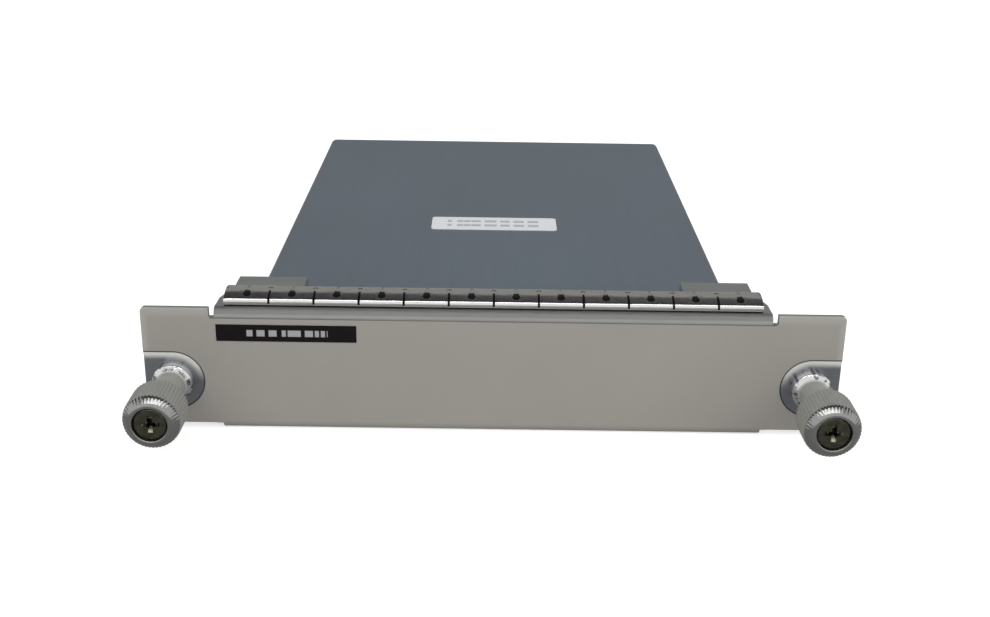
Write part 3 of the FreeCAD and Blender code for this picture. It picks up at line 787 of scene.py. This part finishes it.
# %% Knobs
KNOB_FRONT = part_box("left_knob")[0].y / MM
KNOB_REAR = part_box("left_knob")[1].y / MM
KNOB_RADIUS = (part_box("left_knob")[1].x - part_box("left_knob")[0].x) / 2 / MM
RIDGES = 48
COLUMNS_PER_RIDGE = 8
RIDGE_DEPTH = 0.18
RIDGE_POWER = 1.3
KNURL_START = 0.2
KNURL_POWER = 1.4
KNOB_BEVEL = 1.8
FACE_RADIUS = 4.35
RECESS_RADIUS = 3.5
RECESS_FLOOR = KNOB_FRONT + 2.4
HOLE_RADIUS = 1.55
BORE_RADIUS = 3.15
BORE_FRONT = KNOB_REAR - 5.3


def knurl(y, r, angle):
    """Depth of the groove at a place on the grip: full on the straight part, none at the front face."""
    if r < FACE_RADIUS - 0.01:
        return 0.0
    fade = clamped((y - KNOB_FRONT - KNURL_START) / KNOB_BEVEL)
    ridge = abs(((angle * RIDGES / (2 * math.pi)) % 1.0) - 0.5) * 2
    return RIDGE_DEPTH * fade ** KNURL_POWER * (1 - ridge) ** RIDGE_POWER


def knob_finish():
    metal = Finish("knob_metal")
    grain = metal.noise(3.0, 3.0)
    bevel = metal.fall(metal.y, KNOB_FRONT + KNOB_BEVEL - 0.3, KNOB_FRONT + KNOB_BEVEL + 0.3)
    grip = metal.mix(grain, (0.35, 0.35, 0.336), (0.46, 0.46, 0.44))
    bright = metal.mix(grain, (0.24, 0.24, 0.235), (0.36, 0.36, 0.35))
    metal.set(base_color=metal.mix(bevel, grip, bright))
    metal.set(metallic=metal.span(bevel, 0.55, 0.95))
    metal.set(roughness=metal.math("ADD", metal.span(grain, 0.32, 0.42), metal.times(bevel, -0.20)))
    metal.bump(metal.noise(9.0, 2.0), 0.006)
    return metal


KNOB_FINISH = knob_finish()
KNOB_OUTLINE = [
    (KNOB_REAR, BORE_RADIUS, 0.15), (KNOB_REAR, KNOB_RADIUS, 0.35),
    (KNOB_FRONT + KNOB_BEVEL, KNOB_RADIUS, 0.8), (KNOB_FRONT, FACE_RADIUS, 0.5),
    (KNOB_FRONT, RECESS_RADIUS, 0.3), (RECESS_FLOOR, RECESS_RADIUS, 0),
    (RECESS_FLOOR, HOLE_RADIUS, 0), (BORE_FRONT, HOLE_RADIUS, 0), (BORE_FRONT, BORE_RADIUS, 0),
]
for side, axis_x in SIDES.items():
    knob = spun(f"{side}_grip", eased(KNOB_OUTLINE, 8), axis_x, RIDGES * COLUMNS_PER_RIDGE, knurl)
    wear(knob, KNOB_FINISH)
    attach(knob, f"{side}_thumbscrew")
    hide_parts(f"{side}_knob")
    print(knob.name, len(knob.data.polygons), "faces")

# %% [markdown]
# ## Screws with a cross recess
# The screw head sits deep in the knob and looks dark, with glints along the recess. The recess is a tapered
# cross, taken out with a boolean so that its edges stay crisp. The thread on the other end is a groove whose
# depth depends on the angle as well as on the place along the axis, so the same pass makes a true helix.

# %% Screw shape
HEAD_FRONT = RECESS_FLOOR - 1.9
HEAD_RADIUS = 3.3
CORE_RADIUS = 1.5
THREAD_FRONT = 0.1
SCREW_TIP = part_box("left_screw")[1].y / MM
TIP_CONE = 0.3
TIP_PLAIN = 0.2
THREAD_PITCH = 0.7
THREAD_RADIUS = 2.0
THREAD_DEPTH = 0.38
FLANK_SLOPE = 2.6
CREST_SHARE = 0.15
ROWS_PER_TURN = 10
SCREW_COLUMNS = 64
CROSS_MOUTH = (2.25, 0.55)
CROSS_FOOT = (1.1, 0.32)
CROSS_DEPTH = 1.1


def screw_outline():
    """From the head to the tip, with close rows where the thread is."""
    head = eased([
        (HEAD_FRONT, 0, 0), (HEAD_FRONT, HEAD_RADIUS, 0.35), (RECESS_FLOOR, HEAD_RADIUS, 0),
        (RECESS_FLOOR, CORE_RADIUS, 0), (THREAD_FRONT, CORE_RADIUS, 0),
    ])
    row_length = THREAD_PITCH / ROWS_PER_TURN
    rows = math.floor((SCREW_TIP - TIP_CONE - THREAD_FRONT) / row_length)
    thread = [Vector((THREAD_FRONT + row * row_length, THREAD_RADIUS)) for row in range(rows + 1)]
    return head + thread + [Vector((SCREW_TIP, CORE_RADIUS)), Vector((SCREW_TIP, 0))]


def thread_groove(y, r, angle):
    """Depth of the thread's groove at a place on the threaded end."""
    if y < THREAD_FRONT or r < THREAD_RADIUS:
        return 0.0
    turn = (y / THREAD_PITCH + angle / (2 * math.pi)) % 1.0
    flank = clamped(abs(turn - 0.5) * FLANK_SLOPE - CREST_SHARE)
    ends = clamped(min(y - THREAD_FRONT, SCREW_TIP - TIP_PLAIN - y) / THREAD_PITCH)
    return THREAD_DEPTH * flank * ends


def cross_arm(axis_x, along, across):
    """One arm of the cross, from side to side. It narrows with depth, as a driver's tip does."""
    shape = bmesh.new()
    rings = []
    for y, (span, half) in ((HEAD_FRONT - 0.5, CROSS_MOUTH), (HEAD_FRONT + CROSS_DEPTH, CROSS_FOOT)):
        ring = []
        for a, b in ((1, 1), (-1, 1), (-1, -1), (1, -1)):
            x = axis_x + a * span * along[0] + b * half * across[0]
            z = a * span * along[1] + b * half * across[1]
            ring.append(shape.verts.new((x * MM, y * MM, z * MM)))
        rings.append(ring)
    shape.faces.new(rings[0])
    shape.faces.new(rings[1])
    bridge(shape, *rings)
    bmesh.ops.recalc_face_normals(shape, faces=shape.faces)
    return add_piece("cross_arm", finished_mesh("cross_arm", shape))


print(f"thread from y = {THREAD_FRONT:.1f} to {SCREW_TIP:.1f} mm, {len(screw_outline())} rows in the outline")

# %% Screws


def screw_finish():
    steel = Finish("screw_steel")
    stain = steel.noise(0.9, 3.0)
    face = steel.fall(steel.y, HEAD_FRONT + 0.08, HEAD_FRONT + 0.2)
    bright = steel.mix(stain, (0.42, 0.41, 0.30), (0.62, 0.61, 0.50))
    near_axis = steel.math("SUBTRACT", steel.math("ABSOLUTE", steel.x), SCREW_X)
    # Painted shade: the middle of the cross recess is darkened to near black.
    recess_shade = steel.times(
        steel.fall(steel.length(near_axis, steel.z), 0.7, 1.3),
        steel.fall(steel.y, THREAD_FRONT - 1.0, THREAD_FRONT))
    inside = steel.mix(recess_shade, bright, (0.012, 0.012, 0.010))
    mottled = steel.mix(stain, (0.03, 0.03, 0.022), (0.17, 0.167, 0.12))
    steel.set(base_color=steel.mix(face, inside, mottled))
    steel.set(metallic=1.0)
    steel.set(roughness=steel.span(stain, 0.20, 0.34))
    return steel


SCREW_FINISH = screw_finish()
for side, axis_x in SIDES.items():
    screw = spun(f"{side}_bolt", screw_outline(), axis_x, SCREW_COLUMNS, thread_groove, closed=False)
    cut_away(screw, cross_arm(axis_x, (1, 0), (0, 1)))
    cut_away(screw, cross_arm(axis_x, (0, 1), (1, 0)))
    smooth_by_angle(screw.data, 30)
    wear(screw, SCREW_FINISH)
    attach(screw, f"{side}_thumbscrew")
    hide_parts(f"{side}_screw")
    print(screw.name, len(screw.data.polygons), "faces")

# %% [markdown]
# ## Springs
# A coil spring hides in each ferrule and pushes the knob out. It is drawn as a smooth round wire: a ring of
# points is carried along a helix.

# %% Springs
SPRING_LOW, SPRING_HIGH = (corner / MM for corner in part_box("left_spring"))
WIRE_RADIUS = 0.25
COIL_RADIUS = 2.05
COIL_TURNS = 4


def spring_finish():
    steel = Finish("spring_steel")
    steel.set(base_color=steel.mix(steel.noise(2.0), (0.42, 0.42, 0.42), (0.55, 0.55, 0.55)))
    steel.set(metallic=1.0)
    steel.set(roughness=0.3)
    return steel


def wire_ring(shape, axis_x, along, turn, sides):
    """One ring of the wire, at a place along the axis and a turn about it."""
    ring = []
    for corner in range(sides):
        angle = 2 * math.pi * corner / sides
        radius = COIL_RADIUS + WIRE_RADIUS * math.cos(angle)
        y = along + WIRE_RADIUS * math.sin(angle)
        x = axis_x + radius * math.cos(turn)
        ring.append(shape.verts.new((x * MM, y * MM, radius * math.sin(turn) * MM)))
    return ring


def coil(name, axis_x, steps=40, sides=10):
    """A round wire carried along a helix, so many steps to a turn."""
    shape = bmesh.new()
    rings = []
    front, rear = SPRING_LOW.y + WIRE_RADIUS, SPRING_HIGH.y - WIRE_RADIUS
    for step in range(COIL_TURNS * steps + 1):
        along = front + (rear - front) * step / (COIL_TURNS * steps)
        rings.append(wire_ring(shape, axis_x, along, 2 * math.pi * step / steps, sides))
    for first, second in zip(rings, rings[1:]):
        bridge(shape, first, second)
    shape.faces.new(rings[0])
    shape.faces.new(rings[-1])
    bmesh.ops.recalc_face_normals(shape, faces=shape.faces)
    mesh = finished_mesh(name, shape)
    smooth_by_angle(mesh, 50)
    return add_piece(name, mesh)


SPRING_FINISH = spring_finish()
for side, axis_x in SIDES.items():
    spring = coil(f"{side}_coil", axis_x)
    wear(spring, SPRING_FINISH)
    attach(spring, f"{side}_plunger")
    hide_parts(f"{side}_spring")
    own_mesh(spring)
    print(spring.name, len(spring.data.polygons), "faces")

# %% [markdown]
# ## Label and marking strip
# A white paper label with round corners lies on the tray, and a black film strip on the face. Their print is
# left out: the label carries two rows of plain grey bars and the strip a row of light ones. A stretched noise
# cuts each row into bars of uneven length, so that they look like print from afar without being any text.

# %% Label finishes
LABEL_LOW, LABEL_HIGH = (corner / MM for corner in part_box("tray_label"))
MARKING_LOW, MARKING_HIGH = (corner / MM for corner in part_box("face_strip"))
LABEL_ROUND = 0.9
MARKING_EDGE = 0.03


def label_finish():
    paper = Finish("label_white")
    middle = (LABEL_LOW.y + LABEL_HIGH.y) / 2
    rows = paper.most(
        paper.between(paper.y, middle - 2.5, middle - 0.9, 0.15),
        paper.between(paper.y, middle + 0.9, middle + 2.5, 0.15))
    inside = paper.between(paper.x, LABEL_LOW.x + 4, LABEL_HIGH.x - 4, 0.15)
    gaps = paper.rise(paper.noise(0.55, 0.0, (1.0, 0.0, 0.0)), 0.40, 0.46)
    fibre = paper.noise(3.0, 3.0)
    white = paper.mix(fibre, (0.72, 0.75, 0.78), (0.80, 0.82, 0.84))
    bars = paper.times(rows, inside, gaps, 0.55)
    paper.set(base_color=paper.mix(bars, white, (0.22, 0.24, 0.26)))
    paper.set(roughness=0.55)
    paper.bump(fibre, 0.01)
    return paper


def marking_finish():
    film = Finish("strip_black")
    grain = film.noise(2.0, 3.0)
    row = film.between(film.z, MARKING_LOW.z + 1.2, MARKING_HIGH.z - 1.2, 0.1)
    inside = film.between(film.x, MARKING_LOW.x + 6.4, MARKING_HIGH.x - 6.0, 0.1)
    gaps = film.rise(film.noise(0.8, 0.0, (1.0, 0.0, 0.0)), 0.44, 0.48)
    black = film.mix(grain, (0.007, 0.0055, 0.0065), (0.011, 0.009, 0.010))
    bars = film.times(row, inside, gaps, 0.75)
    film.set(base_color=film.mix(bars, black, (0.42, 0.42, 0.42)))
    film.set(roughness=film.span(grain, 0.42, 0.52), specular_ior_level=0.06)
    film.bump(grain, 0.006)
    return film


print(f"label {LABEL_HIGH.x - LABEL_LOW.x:.1f} mm, strip {MARKING_HIGH.x - MARKING_LOW.x:.1f} mm")

# %% Label and strip


def rounded_plate(name, low, high, radius, steps=6):
    """A flat plate with round corners, lying level."""
    corners = []
    for x, y, start in (
            (high.x - radius, high.y - radius, 0.0), (low.x + radius, high.y - radius, 0.5),
            (low.x + radius, low.y + radius, 1.0), (high.x - radius, low.y + radius, 1.5)):
        for step in range(steps + 1):
            angle = math.pi * (start + 0.5 * step / steps)
            corners.append((x + radius * math.cos(angle), y + radius * math.sin(angle)))
    shape = bmesh.new()
    prism(shape, corners, low.z, high.z)
    mesh = finished_mesh(name, shape)
    smooth_by_angle(mesh, 35)
    return add_piece(name, mesh)


label = rounded_plate("label_paper", LABEL_LOW, LABEL_HIGH, LABEL_ROUND)
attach(label, "cover")
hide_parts("tray_label")
wear(label, label_finish())
marking = softened_copy("face_strip", "marking_film", MARKING_EDGE)
wear(marking, marking_finish())
print("label:", len(label.data.polygons), "faces, strip:", len(marking.data.polygons), "faces")

# %% [markdown]
# ## Floor, world and lamps
# The picture is a cut-out on white under soft light. The floor is a pale sheet that keeps a faint shadow, and
# reflections see it as a grey table. The world looks white to the camera and to reflections while it gives
# the object only plain soft light. Metal needs something to mirror, so a grey card stands behind, darker
# towards the top: it gives the tray its blue-grey and the gasket its dark band. Only reflections see it.
#
# Two large lamps light the front. They stay out of reflections, or the tray would turn white when it is seen
# from behind. A long bar overhead draws thin bright lines along rolls and rims.

# %% Floor and world
FLOOR_Z = CAD_BOX[0].z - 0.02 * MM
FLOOR_REACH = 4.0
FLOOR_GLOW = 0.55
SKY_LIGHT = 0.45
SKY_SEEN = 1.0
WHITE = (1.0, 1.0, 1.0, 1.0)


def floor_finish():
    pale = Finish("floor_pale")
    ray = pale.tree.nodes.new("ShaderNodeLightPath")
    shade = pale.mix(ray.outputs["Is Glossy Ray"], (0.82, 0.82, 0.82), (0.34, 0.34, 0.34))
    pale.set(base_color=shade, roughness=0.9, emission_color=WHITE)
    pale.set(emission_strength=pale.times(ray.outputs["Is Camera Ray"], FLOOR_GLOW))
    return pale


def white_world():
    """White to the camera, in reflections and through glass, and a softer light for everything else."""
    world = bpy.data.worlds.new("studio")
    world.use_nodes = True
    tree = world.node_tree
    ray = tree.nodes.new("ShaderNodeLightPath")
    seen = ray.outputs["Is Camera Ray"]
    for kind in ("Is Glossy Ray", "Is Transmission Ray"):
        either = tree.nodes.new("ShaderNodeMath")
        either.operation = "MAXIMUM"
        tree.links.new(seen, either.inputs[0])
        tree.links.new(ray.outputs[kind], either.inputs[1])
        seen = either.outputs[0]
    strength = tree.nodes.new("ShaderNodeMapRange")
    strength.inputs["To Min"].default_value = SKY_LIGHT
    strength.inputs["To Max"].default_value = SKY_SEEN
    tree.links.new(seen, strength.inputs["Value"])
    background = tree.nodes["Background"]
    background.inputs["Color"].default_value = WHITE
    tree.links.new(strength.outputs["Result"], background.inputs["Strength"])
    return world


floor_mesh = bpy.data.meshes.new("floor")
floor_corners = [(x * FLOOR_REACH, y * FLOOR_REACH, FLOOR_Z) for x, y in ((-1, -1), (1, -1), (1, 1), (-1, 1))]
floor_mesh.from_pydata(floor_corners, [], [(0, 1, 2, 3)])
floor = add_piece("floor", floor_mesh)
wear(floor, floor_finish())
scene.world = white_world()
print(f"floor at z = {FLOOR_Z / MM:.2f} mm")

# %% Grey card
CARD_RADIUS = 0.9
CARD_HALF = 1.2
CARD_TOP = math.radians(100)
CARD_STEPS = 32
CARD_SHADE = (math.radians(42), math.radians(54))


def card_finish():
    grey = Finish("card_grey")
    lift = grey.math("ARCTAN2", grey.z, grey.y)
    glow = grey.mix(grey.rise(lift, *CARD_SHADE), (0.27, 0.27, 0.255), (0.045, 0.043, 0.048))
    grey.set(base_color=(0.0, 0.0, 0.0, 1.0), roughness=1.0, emission_color=glow, emission_strength=1.0)
    return grey


def curved_card(name):
    """A sheet bent from the floor behind the part up to a place over it."""
    shape = bmesh.new()
    rows = []
    for step in range(CARD_STEPS + 1):
        lift = CARD_TOP * step / CARD_STEPS
        y, z = CARD_RADIUS * math.cos(lift), CARD_RADIUS * math.sin(lift)
        rows.append([shape.verts.new((x, y, z)) for x in (-CARD_HALF, CARD_HALF)])
    for first, second in zip(rows, rows[1:]):
        shape.faces.new((first[0], first[1], second[1], second[0]))
    return add_piece(name, finished_mesh(name, shape))


card = curved_card("grey_card")
wear(card, card_finish())
card.visible_camera = False
card.visible_diffuse = False
card.visible_shadow = False
print("card stands", CARD_RADIUS, "m behind")

# %% Lamps


def softbox(name, place, aim, size, power, mirrored=True):
    """A lit rectangle that faces a point. Where it isn't mirrored, reflections leave it out."""
    data = bpy.data.lights.new(name, "AREA")
    data.shape = "RECTANGLE"
    data.size, data.size_y = size
    data.energy = power
    lamp = bpy.data.objects.new(name, data)
    scene.collection.objects.link(lamp)
    lamp.location = place
    lamp.rotation_euler = (Vector(aim) - Vector(place)).to_track_quat("-Z", "Y").to_euler()
    lamp.visible_glossy = mirrored


softbox("key_lamp", (-0.30, -0.62, 0.50), (0, 0.03, 0), (0.9, 0.5), 2.7, mirrored=False)
softbox("fill_lamp", (0.50, -0.45, 0.40), (0, 0, 0), (0.6, 0.6), 2.1, mirrored=False)
softbox("rear_lamp", (0.1, 0.55, 0.75), (0, 0.06, 0), (0.6, 0.3), 0.5)
softbox("glint_lamp", (0.0, -0.19, 0.55), (0, -0.02, 0), (0.7, 0.05), 0.5)
